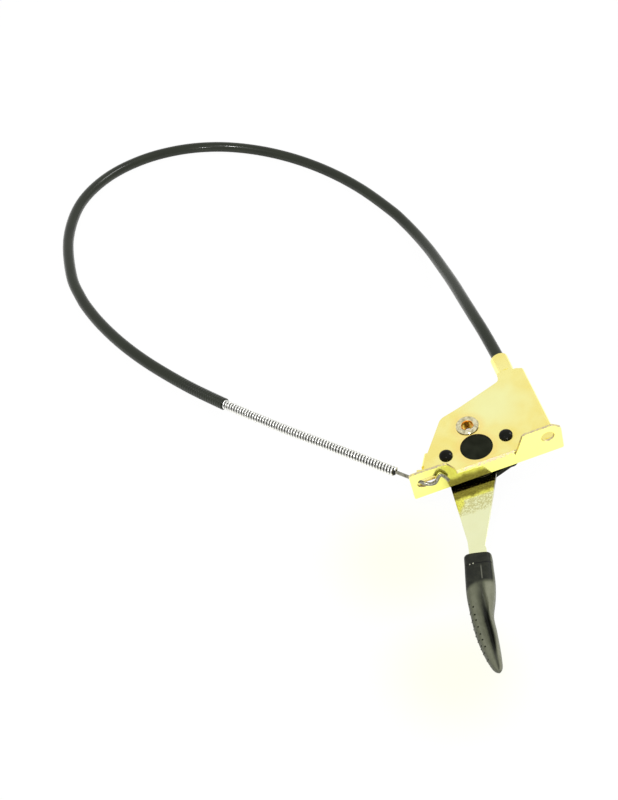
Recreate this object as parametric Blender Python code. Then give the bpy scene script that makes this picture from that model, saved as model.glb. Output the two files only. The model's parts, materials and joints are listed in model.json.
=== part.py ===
"""Throttle control with its cable: one object for each physical piece, in metres, +Z up.

The control (bracket, pivot, lever, grip) is drawn in its own frame and hung under an empty
that rolls it the way it lies on the table. The cable is drawn in the table's frame.
Control frame: origin midway between the two pins at the plate's top face, X along the mounting
flange, Y away from the grip, Z out of the plate.
"""

import math

import bmesh
import bpy
from mathutils import Matrix, Vector

MM = 0.001

# How the control lies on the table.
ROLL = math.radians(14.12)
CONTROL_ON_TABLE = (-1.8, 30.0, 25.5)

# Bracket: one stamping of sheet steel.
SHEET = 1.5
GAP = 0.3
PLATE_FRONT = -9.9
PLATE_CORNERS = [
    (-31.1, PLATE_FRONT, 0.5),
    (36.0, PLATE_FRONT, 0.5),
    (36.0, 38.9, 2.0),
    (24.5, 40.1, 1.0),
    (23.2, 34.7, 2.6),
    (0.4, 26.7, 8.0),
    (-11.0, 23.5, 6.0),
    (-23.1, 5.5, 0.8),
]
FLANGE_FRONT = -11.72
FLANGE_BACK = FLANGE_FRONT + SHEET
FLANGE_MIDDLE = FLANGE_FRONT + SHEET / 2
FLANGE_CORNERS = [
    (-36.2, -9.3, 0.8),
    (39.7, -8.2, 1.0),
    (39.7, 6.4, 1.5),
    (35.6, 9.7, 1.5),
    (21.0, 9.6, 2.8),
    (17.6, 1.2, 2.0),
    (15.6, -2.4, 0.5),
    (-13.4, -2.4, 0.5),
    (-13.6, 1.6, 1.4),
    (-17.6, 8.3, 2.4),
    (-36.2, 8.1, 1.8),
]
BEND_FROM_X = -13.4
BEND_TO_X = 15.6
BEND_BOTTOM = -5.0
BEND_RADIUS = 1.7
BEND_JOIN = 3.7
EAR_ROOT_TO_Y = -9.0
EAR_ROOTS = [(-31.0, BEND_FROM_X), (BEND_TO_X, 37.0)]
EAR_HOLE = (32.7, 3.1)
EAR_HOLE_RADIUS = 3.4
EAR_SLOT = (-28.3, 0.6)
EAR_SLOT_RADIUS = 3.2
EAR_SLOT_STRAIGHT = 3.8
SIDE_WALL_X = 37.8
SIDE_WALL_BOTTOM = -9.0
SIDE_WALL_TO_Y = 38.4
SIDE_BEND_RADIUS = 2.3
SIDE_BEND_JOIN = 4.8
LEFT_TAB_FROM = Vector((-23.1, 5.4))
LEFT_TAB_TO = Vector((-26.6, -1.5))
LEFT_TAB_OUT = 2.0
LEFT_TAB_BOTTOM = -8.0
LEFT_FOOT = [(-27.2, -2.0), (-31.4, -10.8), (-34.0, -10.8), (-31.0, -0.9)]
LEFT_FOOT_TOP = -1.9
CLAMP_X = 29.3
CLAMP_Z = -4.65
CLAMP_OUTER = 4.65
CLAMP_BORE = 3.4
CLAMP_FROM_Y = 40.9
CLAMP_TO_Y = 52.5
CLAMP_SEAM = (math.radians(-104), math.radians(-96))
CLAMP_NECK_TO_Y = CLAMP_FROM_Y + 3.2
CLAMP_NECK = [(26.4, 38.0), (32.4, 38.0), (31.6, CLAMP_NECK_TO_Y), (27.0, CLAMP_NECK_TO_Y)]
CLAMP_NECK_TOP = -0.3
CLAMP_NECK_BOTTOM = -1.3

# Pivot housing, a black moulding held under the plate by two pins and the hollow rivet.
PIVOT_Y = -0.8
PIN_X = 15.3
RIVET_Y = 13.5
HUB_RADIUS = 7.7
HUB_TOP = -0.6
HUB_HOLE = 8.0
HOUSING_TOP = -SHEET - GAP
HOUSING_BOTTOM = -11.0
HOUSING_WAIST = 9.4
HOUSING_LUG = 4.7
REAR_LUG = 5.6
REAR_LUG_ROOT = (0, 1.4, 8.0)
REAR_LUG_BOTTOM = -4.6
REAR_LUG_TOP = HOUSING_TOP - 0.02
BEARING_RADIUS = 5.45
BEARING_BOTTOM = -14.9
COVER_TOP = -15.2
COVER_BOTTOM = -18.0
COVER_WAIST = 9.0
COVER_LUG = 4.7
JOIN_DEPTH = 3.0

# Pins and hollow rivet.
PIN_RADIUS = 1.8
PIN_HOLE = 2.1
PIN_HEAD = 3.4
PIN_TOP = 2.2
PIN_BOTTOM = -21.8
PIN_FOOT_DOME = 1.1
RIVET_INNER = 2.8
RIVET_OUTER = 3.3
RIVET_HOLE = 3.6
RIVET_FLARE = 4.3
RIVET_FLARE_SHEET = 0.6
RIVET_HEAD = [(5.6, 0.3), (5.7, 0.6), (5.2, 1.1), (4.5, 1.3), (3.5, 1.1), (2.9, 0.6)]

# Lever, bell crank and washers.
LEVER_TOP = -12.0
LEVER_BOTTOM = -14.0
LEVER_BORE = 5.5
LEVER_HUB = 9.4
LEVER_OUTLINE = [
    (-9.2, 2.4),
    (-17.7, -8.2),
    (-18.0, -10.6),
    (-20.35, -43.5),
    (-21.35, -48.2),
    (-24.95, -63.6),
    (-23.9, -65.2),
    (-18.4, -66.5),
    (-17.0, -65.6),
    (-13.35, -50.2),
    (-13.4, -48.4),
    (1.7, -17.4),
    (6.8, -7.0),
]
CRANK_END = (29.1, -3.1)
CRANK_END_RADIUS = 3.4
CRANK_HOLE = 1.25
CRANK_ROOT = (1.0, 5.0, 4.4)
CRANK_ELBOW = (20.5, 10.5)
CRANK_ELBOW_RADIUS = 3.6
WAVE_WASHER_Z = -11.5
WAVE_WASHER_INNER = 5.8
WAVE_WASHER_OUTER = 9.0
WAVE_WASHER_SHEET = 0.25
WAVE_HEIGHT = 0.14
WAVE_COUNT = 3
FLAT_WASHER_TOP = -14.3
FLAT_WASHER_BOTTOM = -14.9
FLAT_WASHER_INNER = 5.8
FLAT_WASHER_OUTER = 8.4

# Grip: centre, half width, half height and squareness of each cross-section.
GRIP_Z = -13.0
GRIP_SECTIONS = [
    (-18.40, -53.0, 5.7, 4.0, 3.6),
    (-18.60, -53.8, 6.4, 4.7, 4.2),
    (-19.60, -57.8, 6.5, 4.8, 4.2),
    (-21.80, -66.5, 6.7, 4.9, 3.8),
    (-24.10, -74.5, 6.4, 5.2, 3.0),
    (-26.70, -84.0, 5.1, 5.6, 2.6),
    (-27.80, -93.0, 4.8, 5.9, 2.4),
    (-28.40, -101.5, 4.0, 5.7, 2.3),
    (-28.60, -107.5, 3.0, 4.9, 2.2),
    (-28.60, -110.8, 2.1, 3.6, 2.0),
    (-28.60, -112.4, 0.8, 1.6, 2.0),
]
GRIP_SIDES = 40
GRIP_STEP = 1.2
# The thumb scoop in the grip's upper face: its outline is in shares of the half width.
SCOOP_FROM_Y = -68.5
SCOOP_GROWS = 13.0
SCOOP_TIP_Y = -111.5
SCOOP_FADES = 16.0
SCOOP_DEPTH = 4.0
SCOOP_LEFT = (0.0, -0.85)
SCOOP_RIGHT = (0.12, 0.76)
SCOOP_DEEPEST = 0.78
TANG_POCKET = [(-12.6, -48.6), (-21.4, -46.5), (-25.9, -65.7), (-17.1, -67.7)]
TANG_POCKET_HALF_HEIGHT = 1.3

# Cable: wound conduit in a black sheath, with a solid inner wire.
SHEATH_RADIUS = 3.2
SHEATH_BORE = 2.85
SHEATH_BORE_DEPTH = 8.0
CONDUIT_RADIUS = 2.55
CONDUIT_BORE = 1.2
WIRE_RADIUS = 0.875
WIRE_STEP = 1.2
LEVER_WIRE_STEP = 1.6
SHEATH_STEP = 8.0
SHEATH_ROUTE = [
    (27.75, 73.6, 28.1),
    (27.75, 84.0, 28.1),
    (27.1, 105.7, 27.3),
    (26.7, 121.1, 25.6),
    (26.9, 138.6, 22.4),
    (27.7, 158.2, 17.8),
    (28.1, 179.1, 12.6),
    (27.8, 199.9, 8.1),
    (26.0, 218.8, 4.9),
    (22.6, 235.3, 3.5),
    (17.7, 249.6, 3.4),
    (5.0, 276.0, 3.4),
    (-11.1, 299.2, 3.4),
    (-30.2, 318.3, 3.4),
    (-51.6, 332.5, 3.4),
    (-74.6, 341.1, 3.4),
    (-99.2, 342.9, 3.4),
    (-124.7, 337.0, 3.4),
    (-148.6, 322.5, 3.4),
    (-167.4, 298.9, 3.4),
    (-177.9, 266.5, 3.4),
    (-179.8, 230.9, 3.4),
    (-176.4, 209.2, 3.4),
    (-172.4, 195.8, 3.4),
    (-167.8, 184.1, 3.4),
    (-161.7, 171.4, 3.4),
    (-155.0, 159.6, 3.4),
    (-147.2, 147.8, 3.4),
    (-138.9, 136.8, 3.4),
    (-131.2, 126.9, 3.8),
    (-125.2, 119.3, 4.5),
    (-119.6, 112.5, 5.3),
    (-112.6, 104.0, 6.5),
]
# The bare conduit, gently bent at first and straight at its mouth.
FREE_ROUTE = [
    (-112.6, 104.0, 6.5),
    (-105.4, 95.9, 7.7),
    (-97.5, 87.1, 9.0),
    (-89.5, 78.5, 10.2),
    (-81.8, 70.2, 11.5),
    (-73.3, 61.5, 13.0),
]
FREE_STEP = 8.0
FREE_AXIS = Vector((0.6935, -0.7144, 0.0930)).normalized()
FREE_MOUTH = Vector((-42.03, 29.21, 17.43))
FREE_STRAIGHT = 32.0
FREE_BORE_DEPTH = 31.0
WIRE_TAIL = 30.0
WIRE_REACH = 16.1
# The bent end, in the control's frame, from the slot on.
WIRE_BENDS = [
    (-28.3, -13.2, 0.5),
    (-26.8, -13.5, 0.0),
    (-25.0, -13.5, 0.0),
    (-23.6, -13.4, 1.7),
    (-22.5, -13.3, 3.5),
    (-21.2, -13.3, 3.8),
    (-19.8, -13.3, 1.9),
    (-18.5, -13.4, -1.5),
]
STUB_FROM_Y = 36.6
STUB_INSET = 1.5
STUB_TO_Y = CLAMP_TO_Y - STUB_INSET
STUB_BORE_DEPTH = 8.0
LEVER_WIRE_ROUTE = [
    (29.3, 42.0, -4.65),
    (29.3, 36.0, -4.7),
    (29.3, 29.0, -5.2),
    (29.25, 18.0, -7.6),
    (29.2, 7.0, -10.0),
    (29.15, 1.2, -10.75),
    (29.1, -1.9, -10.95),
    (29.1, -3.1, -11.9),
    (29.1, -3.1, -14.4),
    (29.1, -2.2, -15.4),
    (29.1, 1.6, -15.5),
]

COLOURS = {
    "zinc_yellow": ((0.85, 0.78, 0.25), 0.9, 0.25),
    "zinc_lever": ((0.78, 0.74, 0.36), 0.9, 0.3),
    "black_moulding": ((0.02, 0.02, 0.02), 0.0, 0.45),
    "black_pin": ((0.01, 0.01, 0.01), 0.0, 0.15),
    "bright_rivet": ((0.7, 0.66, 0.55), 0.9, 0.3),
    "spring_steel": ((0.6, 0.6, 0.6), 0.9, 0.35),
    "grip_black": ((0.06, 0.06, 0.05), 0.0, 0.5),
    "sheath_black": ((0.04, 0.04, 0.035), 0.0, 0.4),
    "conduit_steel": ((0.72, 0.72, 0.72), 0.9, 0.3),
    "wire_steel": ((0.62, 0.62, 0.6), 0.9, 0.25),
}


def clear_scene():
    for obj in list(bpy.data.objects):
        bpy.data.objects.remove(obj, do_unlink=True)


def material(name):
    colour, metallic, roughness = COLOURS[name]
    made = bpy.data.materials.new(name)
    made.use_nodes = True
    shader = made.node_tree.nodes["Principled BSDF"]
    shader.inputs["Base Color"].default_value = (*colour, 1.0)
    shader.inputs["Metallic"].default_value = metallic
    shader.inputs["Roughness"].default_value = roughness
    return made


def add_mesh(name, points, faces, frame=None):
    """A mesh object from points in millimetres, with its faces turned outward."""
    mesh = bpy.data.meshes.new(name)
    mesh.from_pydata([Vector(p) * MM for p in points], [], faces)
    shape = bmesh.new()
    shape.from_mesh(mesh)
    bmesh.ops.recalc_face_normals(shape, faces=shape.faces)
    shape.to_mesh(mesh)
    shape.free()
    obj = bpy.data.objects.new(name, mesh)
    bpy.context.collection.objects.link(obj)
    obj.parent = frame
    return obj


def add_helper(name, points, faces, frame=None):
    """A solid that only joins or cuts another one."""
    obj = add_mesh(name, points, faces, frame)
    obj.hide_render = True
    obj.display_type = "WIRE"
    return obj


def combine(target, other, operation):
    modifier = target.modifiers.new(other.name, "BOOLEAN")
    modifier.operation = operation
    modifier.object = other
    modifier.solver = "EXACT"


def arc(centre, radius, start, end, steps):
    return [
        (
            centre[0] + radius * math.cos(start + (end - start) * i / steps),
            centre[1] + radius * math.sin(start + (end - start) * i / steps),
        )
        for i in range(steps + 1)
    ]


def circle(centre, radius, steps=32):
    return arc(centre, radius, 0.0, 2 * math.pi, steps)[:-1]


def rounded(corners, steps=5):
    """A closed outline with each corner (x, y, radius) turned into an arc."""
    outline = []
    count = len(corners)
    for i, (x, y, radius) in enumerate(corners):
        here = Vector((x, y))
        before = (Vector(corners[i - 1][:2]) - here).normalized()
        after = (Vector(corners[(i + 1) % count][:2]) - here).normalized()
        half = before.angle(after) / 2
        middle = here + (before + after).normalized() * radius / math.sin(half)
        start = here + before * radius / math.tan(half) - middle
        end = here + after * radius / math.tan(half) - middle
        turn = start.angle_signed(end)
        for step in range(steps + 1):
            outline.append(tuple(middle + Matrix.Rotation(-turn * step / steps, 2) @ start))
    return outline


def hull(circles, steps=40):
    """The outline of a belt around circles (x, y, radius)."""
    points = sorted({p for x, y, r in circles for p in circle((x, y), r, steps)})

    def half(sequence):
        kept = []
        for p in sequence:
            while len(kept) > 1 and turn_of(kept[-2], kept[-1], p) <= 1e-6:
                kept.pop()
            kept.append(p)
        return kept[:-1]

    return half(points) + half(points[::-1])


def turn_of(a, b, c):
    return (b[0] - a[0]) * (c[1] - a[1]) - (b[1] - a[1]) * (c[0] - a[0])


def prism_data(outline, low, high, place):
    """Points and faces of an outline drawn out from low to high. place(u, v, w) gives the point."""
    count = len(outline)
    points = [place(u, v, low) for u, v in outline] + [place(u, v, high) for u, v in outline]
    faces = [tuple(range(count))[::-1], tuple(range(count, 2 * count))]
    faces += [(i, (i + 1) % count, (i + 1) % count + count, i + count) for i in range(count)]
    return points, faces


def in_plan(u, v, w):
    return (u, v, w)


def in_front_view(u, v, w):
    return (u, w, v)


def lathe_data(profile, centre, steps=32):
    """A profile of (radius, z) turned about the line through centre. Radius 0 makes one point."""
    points = []
    rings = []
    for radius, z in profile:
        if radius == 0:
            rings.append([len(points)] * steps)
            points.append((centre[0], centre[1], z))
            continue
        rings.append(list(range(len(points), len(points) + steps)))
        points += [(x, y, z) for x, y in circle(centre, radius, steps)]
    pairs = list(zip(rings, rings[1:]))
    if profile[0][0] != 0:
        pairs.append((rings[-1], rings[0]))
    faces = []
    for lower, upper in pairs:
        for i in range(steps):
            j = (i + 1) % steps
            face = [lower[i], lower[j], upper[j], upper[i]]
            faces.append(tuple(dict.fromkeys(face)))
    return points, faces


def smooth_route(route, step):
    """Points every step millimetres on a smooth curve through the route."""
    guides = [Vector(p) for p in route]
    ends = [2 * guides[0] - guides[1]] + guides + [2 * guides[-1] - guides[-2]]
    fine = []
    parts = 24
    for a, b, c, d in zip(ends, ends[1:], ends[2:], ends[3:]):
        for i in range(parts):
            t = i / parts
            fine.append(
                0.5
                * (
                    2 * b
                    + (c - a) * t
                    + (2 * a - 5 * b + 4 * c - d) * t**2
                    + (3 * b - a - 3 * c + d) * t**3
                )
            )
    fine.append(guides[-1])
    lengths = [0.0]
    for a, b in zip(fine, fine[1:]):
        lengths.append(lengths[-1] + (b - a).length)
    count = max(2, round(lengths[-1] / step))
    path = []
    place = 0
    for i in range(count + 1):
        wanted = lengths[-1] * i / count
        while place < len(fine) - 2 and lengths[place + 1] < wanted:
            place += 1
        span = max(lengths[place + 1] - lengths[place], 1e-9)
        path.append(fine[place].lerp(fine[place + 1], (wanted - lengths[place]) / span))
    return path


def tube_data(path, radius, bore=0.0, start_depth=0.0, end_depth=0.0, sides=12):
    """A round bar along a path, with a blind hole of radius bore in each end that has a depth."""
    path = [Vector(p) for p in path]
    first = (path[1] - path[0]).normalized()
    last = (path[-1] - path[-2]).normalized()
    stations = []
    if start_depth:
        stations += [(path[0] + first * start_depth, bore), (path[0], bore)]
    stations += [(p, radius) for p in path]
    if end_depth:
        stations += [(path[-1], bore), (path[-1] - last * end_depth, bore)]
    directions = []
    for centre, _ in stations:
        nearest = min(range(len(path)), key=lambda i: (path[i] - centre).length)
        if (centre - path[0]).length <= start_depth + 0.01:
            directions.append(first)
        elif (centre - path[-1]).length <= end_depth + 0.01:
            directions.append(last)
        else:
            directions.append(
                (path[min(nearest + 1, len(path) - 1)] - path[max(nearest - 1, 0)]).normalized()
            )
    side = directions[0].orthogonal().normalized()
    points = []
    for (centre, ring_radius), along in zip(stations, directions):
        side = (side - along * side.dot(along)).normalized()
        up = along.cross(side)
        for i in range(sides):
            angle = 2 * math.pi * i / sides
            points.append(centre + ring_radius * (math.cos(angle) * side + math.sin(angle) * up))
    faces = [tuple(range(sides))[::-1]]
    for ring in range(len(stations) - 1):
        for i in range(sides):
            j = (i + 1) % sides
            low = ring * sides
            faces.append((low + i, low + j, low + sides + j, low + sides + i))
    faces.append(tuple(range((len(stations) - 1) * sides, len(stations) * sides)))
    return points, faces


def sheet_bend(inside, outer, radius, bottom):
    """Section of a sheet edge bent down, as (distance outward, height)."""
    centre = (outer - radius, -radius)
    return (
        [(inside, 0.0)]
        + arc(centre, radius, math.pi / 2, 0.0, 6)
        + [(outer, bottom), (outer - SHEET, bottom)]
        + arc(centre, radius - SHEET, 0.0, math.pi / 2, 3)
        + [(inside, -SHEET)]
    )


def toward_grip(u, v, w):
    return (w, -u, v)


def along_left_tab(u, v, w):
    run = (LEFT_TAB_TO - LEFT_TAB_FROM).normalized()
    out = Vector((run.y, -run.x))
    place = LEFT_TAB_FROM + run * w + out * u
    return (place.x, place.y, v)


def clamp_section():
    """The rolled clamp, open along its seam."""
    seam_start, seam_end = CLAMP_SEAM
    centre = (CLAMP_X, CLAMP_Z)
    outside = arc(centre, CLAMP_OUTER, seam_end, seam_start + 2 * math.pi, 36)
    return outside + arc(centre, CLAMP_BORE, seam_start + 2 * math.pi, seam_end, 36)


def ear_slot_outline():
    x, z = EAR_SLOT
    half = EAR_SLOT_STRAIGHT / 2
    right = arc((x + half, z), EAR_SLOT_RADIUS, -math.pi / 2, math.pi / 2, 12)
    return right + arc((x - half, z), EAR_SLOT_RADIUS, math.pi / 2, 3 * math.pi / 2, 12)


def bracket_additions():
    front = sheet_bend(-FLANGE_FRONT - BEND_JOIN, -FLANGE_FRONT, BEND_RADIUS, BEND_BOTTOM)
    side = sheet_bend(
        SIDE_WALL_X - SIDE_BEND_JOIN, SIDE_WALL_X, SIDE_BEND_RADIUS, SIDE_WALL_BOTTOM
    )
    tab = sheet_bend(-LEFT_TAB_OUT, LEFT_TAB_OUT, LEFT_TAB_OUT, LEFT_TAB_BOTTOM)
    tab_length = (LEFT_TAB_TO - LEFT_TAB_FROM).length
    neck = (CLAMP_NECK_BOTTOM, CLAMP_NECK_TOP)
    roots = []
    for start, end in EAR_ROOTS:
        corners = [(start, FLANGE_MIDDLE), (end, FLANGE_MIDDLE), (end, EAR_ROOT_TO_Y)]
        corners.append((start, EAR_ROOT_TO_Y))
        roots.append((f"ear_root_{len(roots)}", prism_data(corners, -SHEET, 0.0, in_plan)))
    return roots + [
        ("flange", prism_data(rounded(FLANGE_CORNERS), FLANGE_FRONT, FLANGE_BACK, in_front_view)),
        ("front_bend", prism_data(front, BEND_FROM_X, BEND_TO_X, toward_grip)),
        ("side_wall", prism_data(side, PLATE_FRONT, SIDE_WALL_TO_Y, in_front_view)),
        ("left_tab", prism_data(tab, 0.0, tab_length, along_left_tab)),
        ("left_foot", prism_data(LEFT_FOOT, LEFT_TAB_BOTTOM, LEFT_FOOT_TOP, in_plan)),
        ("clamp_neck", prism_data(CLAMP_NECK, *neck, in_plan)),
        ("clamp_roll", prism_data(clamp_section(), CLAMP_FROM_Y, CLAMP_TO_Y, in_front_view)),
    ]


def bracket_openings():
    through_flange = (FLANGE_FRONT - SHEET, FLANGE_BACK + GAP)
    through_plate = (-2 * SHEET, SHEET)
    ear_hole = circle(EAR_HOLE, EAR_HOLE_RADIUS)
    openings = [
        ("ear_slot", prism_data(ear_slot_outline(), *through_flange, in_front_view)),
        ("ear_hole", prism_data(ear_hole, *through_flange, in_front_view)),
    ]
    for name, x, y, radius, steps in (
        ("hub_hole", 0, PIVOT_Y, HUB_HOLE, 48),
        ("rivet_hole", 0, RIVET_Y, RIVET_HOLE, 32),
        ("left_pin_hole", -PIN_X, 0, PIN_HOLE, 20),
        ("right_pin_hole", PIN_X, 0, PIN_HOLE, 20),
    ):
        data = prism_data(circle((x, y), radius, steps), *through_plate, in_plan)
        openings.append((name, data))
    return openings


def make_bracket(frame):
    plate = prism_data(rounded(PLATE_CORNERS), -SHEET, 0.0, in_plan)
    bracket = add_mesh("bracket", *plate, frame)
    for name, data in bracket_additions():
        combine(bracket, add_helper(name, *data, frame), "UNION")
    for name, data in bracket_openings():
        combine(bracket, add_helper(name, *data, frame), "DIFFERENCE")
    return bracket


def drill(target, holes, low, high, frame):
    """Cuts round holes (x, y, radius) through target between two heights."""
    for number, (x, y, radius) in enumerate(holes):
        name = f"{target.name}_drill_{number}"
        data = prism_data(circle((x, y), radius, 24), low, high, in_plan)
        combine(target, add_helper(name, *data, frame), "DIFFERENCE")


def pin_holes():
    return [(-PIN_X, 0, PIN_HOLE), (PIN_X, 0, PIN_HOLE)]


def make_pivot_housing(frame):
    body = hull(
        [(0, PIVOT_Y, HOUSING_WAIST), (-PIN_X, 0, HOUSING_LUG), (PIN_X, 0, HOUSING_LUG)]
    )
    housing = add_mesh(
        "pivot_housing", *prism_data(body, HOUSING_BOTTOM, HOUSING_TOP, in_plan), frame
    )
    lug = hull([(0, RIVET_Y, REAR_LUG), REAR_LUG_ROOT])
    hub = circle((0, PIVOT_Y), HUB_RADIUS, 48)
    bearing = circle((0, PIVOT_Y), BEARING_RADIUS, 48)
    joined = [
        ("rear_lug", prism_data(lug, REAR_LUG_BOTTOM, REAR_LUG_TOP, in_plan)),
        ("hub", prism_data(hub, HOUSING_TOP - JOIN_DEPTH, HUB_TOP, in_plan)),
        ("bearing", prism_data(bearing, BEARING_BOTTOM, HOUSING_BOTTOM + JOIN_DEPTH, in_plan)),
    ]
    for name, (points, faces) in joined:
        combine(housing, add_helper(name, points, faces, frame), "UNION")
    drill(housing, pin_holes(), HOUSING_BOTTOM - SHEET, SHEET, frame)
    rivet_hole = circle((0, RIVET_Y), RIVET_HOLE)
    cutter = prism_data(rivet_hole, REAR_LUG_BOTTOM - SHEET, SHEET, in_plan)
    combine(housing, add_helper("rear_lug_hole", *cutter, frame), "DIFFERENCE")
    return housing


def make_lower_cover(frame):
    outline = hull([(0, PIVOT_Y, COVER_WAIST), (-PIN_X, 0, COVER_LUG), (PIN_X, 0, COVER_LUG)])
    cover = add_mesh("lower_cover", *prism_data(outline, COVER_BOTTOM, COVER_TOP, in_plan), frame)
    drill(cover, pin_holes(), COVER_BOTTOM - SHEET, COVER_TOP + SHEET, frame)
    return cover


def dome(radius, seat, crown, steps=5):
    """Profile points of a domed head from its crown at the axis to its rim at the seat."""
    turns = [math.pi / 2 * i / steps for i in range(1, steps + 1)]
    rim = [(radius * math.sin(t), seat + (crown - seat) * math.cos(t)) for t in turns]
    return [(0, crown)] + rim


def make_pin(name, x, frame):
    lower_seat = COVER_BOTTOM - GAP
    profile = dome(PIN_HEAD, GAP, PIN_TOP)
    profile += [(PIN_RADIUS, GAP), (PIN_RADIUS, lower_seat), (PIN_HEAD, lower_seat)]
    profile += dome(PIN_HEAD, PIN_BOTTOM + PIN_FOOT_DOME, PIN_BOTTOM)[::-1]
    return add_mesh(name, *lathe_data(profile, (x, 0), 20), frame)


def make_hollow_rivet(frame):
    foot = REAR_LUG_BOTTOM - GAP
    profile = [
        (RIVET_INNER, foot - RIVET_FLARE_SHEET),
        (RIVET_FLARE, foot - RIVET_FLARE_SHEET),
        (RIVET_FLARE, foot),
        (RIVET_OUTER, foot),
        (RIVET_OUTER, GAP),
        *RIVET_HEAD,
        (RIVET_INNER, 0.0),
    ]
    return add_mesh("hollow_rivet", *lathe_data(profile, (0, RIVET_Y), 36), frame)


def make_lever(frame):
    lever = add_mesh(
        "lever", *prism_data(LEVER_OUTLINE, LEVER_BOTTOM, LEVER_TOP, in_plan), frame
    )
    hub = circle((0, PIVOT_Y), LEVER_HUB, 48)
    inner_arm = hull([CRANK_ROOT, (*CRANK_ELBOW, CRANK_ELBOW_RADIUS)])
    outer_arm = hull([(*CRANK_ELBOW, CRANK_ELBOW_RADIUS), (*CRANK_END, CRANK_END_RADIUS)])
    for name, outline in (("lever_hub", hub), ("inner_arm", inner_arm), ("outer_arm", outer_arm)):
        data = prism_data(outline, LEVER_BOTTOM, LEVER_TOP, in_plan)
        combine(lever, add_helper(name, *data, frame), "UNION")
    through_lever = (LEVER_BOTTOM - SHEET, LEVER_TOP + SHEET)
    bore = prism_data(circle((0, PIVOT_Y), LEVER_BORE, 48), *through_lever, in_plan)
    combine(lever, add_helper("lever_bore", *bore, frame), "DIFFERENCE")
    drill(lever, [(*CRANK_END, CRANK_HOLE)], *through_lever, frame)
    return lever


def make_wave_washer(frame):
    steps = 48
    half = WAVE_WASHER_SHEET / 2
    points = []
    for i in range(steps):
        angle = 2 * math.pi * i / steps
        middle = WAVE_WASHER_Z + WAVE_HEIGHT * math.cos(WAVE_COUNT * angle)
        for radius, z in (
            (WAVE_WASHER_INNER, middle - half),
            (WAVE_WASHER_OUTER, middle - half),
            (WAVE_WASHER_OUTER, middle + half),
            (WAVE_WASHER_INNER, middle + half),
        ):
            points.append((radius * math.cos(angle), PIVOT_Y + radius * math.sin(angle), z))
    faces = []
    for i in range(steps):
        here = 4 * i
        there = 4 * ((i + 1) % steps)
        for k in range(4):
            n = (k + 1) % 4
            faces.append((here + k, here + n, there + n, there + k))
    return add_mesh("wave_washer", points, faces, frame)


def make_flat_washer(frame):
    profile = [
        (FLAT_WASHER_INNER, FLAT_WASHER_BOTTOM),
        (FLAT_WASHER_OUTER, FLAT_WASHER_BOTTOM),
        (FLAT_WASHER_OUTER, FLAT_WASHER_TOP),
        (FLAT_WASHER_INNER, FLAT_WASHER_TOP),
    ]
    return add_mesh("flat_washer", *lathe_data(profile, (0, PIVOT_Y), 40), frame)


def power(value, exponent):
    return math.copysign(abs(value) ** exponent, value)


def smooth_share(value):
    value = min(1.0, max(0.0, value))
    return value * value * (3 - 2 * value)


def scoop(u, y):
    """How far the grip's upper face is sunk, at a share u of its half width."""
    grown = smooth_share((SCOOP_FROM_Y - y) / SCOOP_GROWS)
    left = SCOOP_LEFT[0] + (SCOOP_LEFT[1] - SCOOP_LEFT[0]) * grown
    right = SCOOP_RIGHT[0] + (SCOOP_RIGHT[1] - SCOOP_RIGHT[0]) * grown
    deepest = left + (right - left) * SCOOP_DEEPEST
    inward = (u - left) / (deepest - left) if u < deepest else (right - u) / (right - deepest)
    fades_at_tip = smooth_share((y - SCOOP_TIP_Y) / SCOOP_FADES)
    return SCOOP_DEPTH * smooth_share(inward) * grown * fades_at_tip


def grip_ring(centre, across, half_width, half_height, squareness):
    """The points of one cross-section, with the scoop sunk into its upper half."""
    points = []
    for k in range(GRIP_SIDES):
        angle = 2 * math.pi * (k + 0.5) / GRIP_SIDES
        u = power(math.cos(angle), 2 / squareness)
        high = half_height * power(math.sin(angle), 2 / squareness)
        if high > 0:
            high -= scoop(u, centre.y) * high / half_height
        points.append(centre + across * half_width * u + Vector((0, 0, high)))
    return points


def make_grip(frame):
    sections = smooth_route(GRIP_SECTIONS, GRIP_STEP)
    points = []
    for i, (x, y, *sizes) in enumerate(sections):
        here = sections[max(i - 1, 0)]
        there = sections[min(i + 1, len(sections) - 1)]
        across = Vector((here[1] - there[1], there[0] - here[0], 0)).normalized()
        points += grip_ring(Vector((x, y, GRIP_Z)), across, *sizes)
    faces = [tuple(range(GRIP_SIDES))]
    for ring in range(len(sections) - 1):
        for k in range(GRIP_SIDES):
            n = (k + 1) % GRIP_SIDES
            low = ring * GRIP_SIDES
            faces.append((low + k, low + n, low + GRIP_SIDES + n, low + GRIP_SIDES + k))
    faces.append(tuple(range((len(sections) - 1) * GRIP_SIDES, len(sections) * GRIP_SIDES)))
    grip = add_mesh("grip", points, faces, frame)
    low = GRIP_Z - TANG_POCKET_HALF_HEIGHT
    high = GRIP_Z + TANG_POCKET_HALF_HEIGHT
    pocket = add_helper("tang_pocket", *prism_data(TANG_POCKET, low, high, in_plan), frame)
    combine(grip, pocket, "DIFFERENCE")
    return grip


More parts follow.
